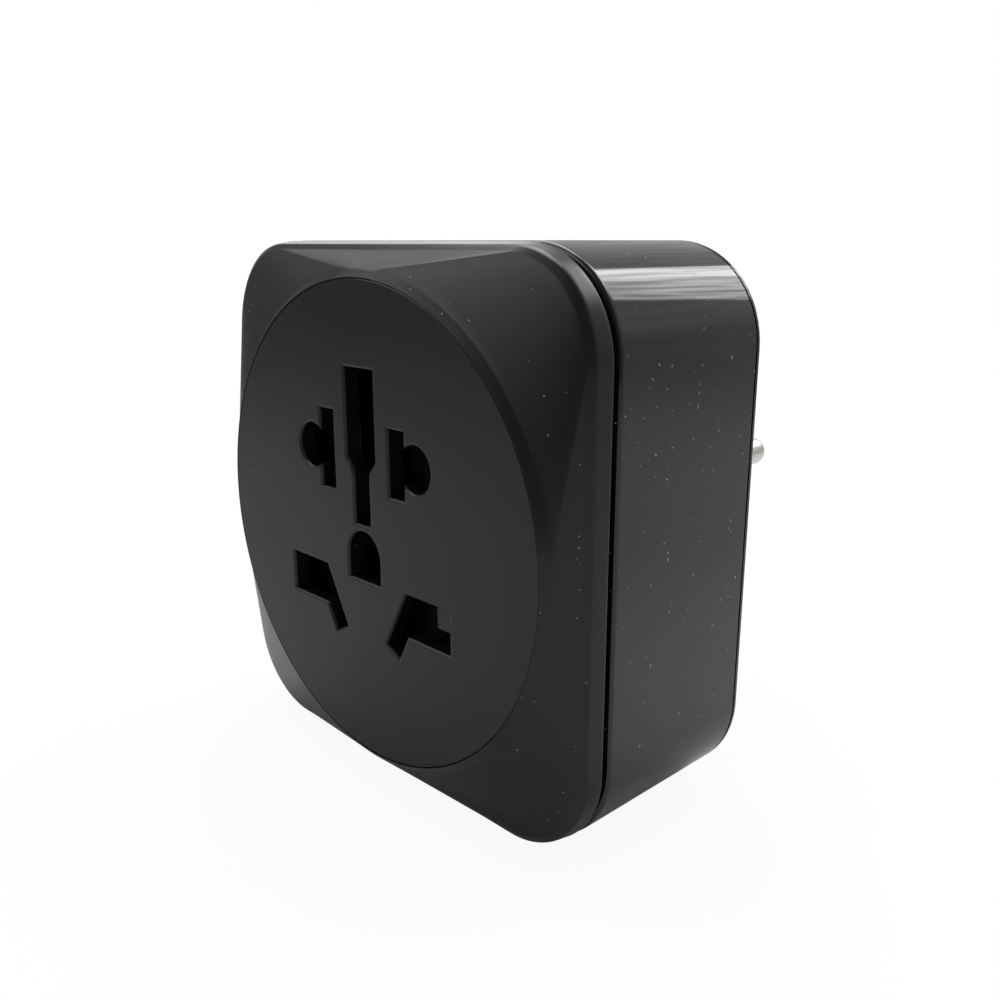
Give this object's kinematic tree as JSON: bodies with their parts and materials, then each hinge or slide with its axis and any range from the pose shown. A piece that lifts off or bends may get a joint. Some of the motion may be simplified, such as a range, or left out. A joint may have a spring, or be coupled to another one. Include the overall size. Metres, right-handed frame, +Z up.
{
  "type": "travel adapter",
  "caption": "Square black travel adapter with a round socket disc for several plug shapes on its front and a round-pin plug on its back.",
  "frame": {"origin": "centre of the plug's mating face, between the two round pins", "axes": "+Y along the pins into the wall, +Z up, +X to the right of someone who looks at the socket face"},
  "size_m": [0.0622, 0.0663, 0.063],
  "materials": {
    "matte_black": "fine satin charcoal black",
    "disc_black": "matte charcoal black",
    "gloss_black": "polished black",
    "satin_black": "polished black",
    "inner_black": "moulded black, not polished",
    "sleeve_black": "smooth black sleeve",
    "contact_brass": "stamped strip",
    "nickel_brass": "nickel plated, turned",
    "spring_steel": "drawn wire",
    "screw_steel": "zinc plated"
  },
  "bodies": {
    "adapter": {"front_cover": "matte_black", "socket_disc": "disc_black", "body_shell": "gloss_black", "rear_cover": "satin_black", "contact_carrier": "inner_black", "carrier_lid": "inner_black", "neutral_upper_contact": "contact_brass", "neutral_lower_contact": "contact_brass", "neutral_busbar": "contact_brass", "neutral_pin": "nickel_brass", "line_upper_contact": "contact_brass", "line_lower_contact": "contact_brass", "line_busbar": "contact_brass", "line_pin": "nickel_brass", "contact_rivets": "contact_brass", "pin_sleeves": "sleeve_black", "case_screws": "screw_steel", "carrier_screws": "screw_steel", "lid_screws": "screw_steel", "shutter_spring": "spring_steel"},
    "shutter": {"safety_shutter": "inner_black"}
  },
  "joints": [
    {"name": "shutter_slide", "type": "slide", "parent": "adapter", "child": "shutter", "axis": [0, 0, -1], "range_m": [0, 0.0093], "stiffness_N_per_m": 60, "springref_m": -0.004, "deforming": ["shutter_spring"]}
  ]
}
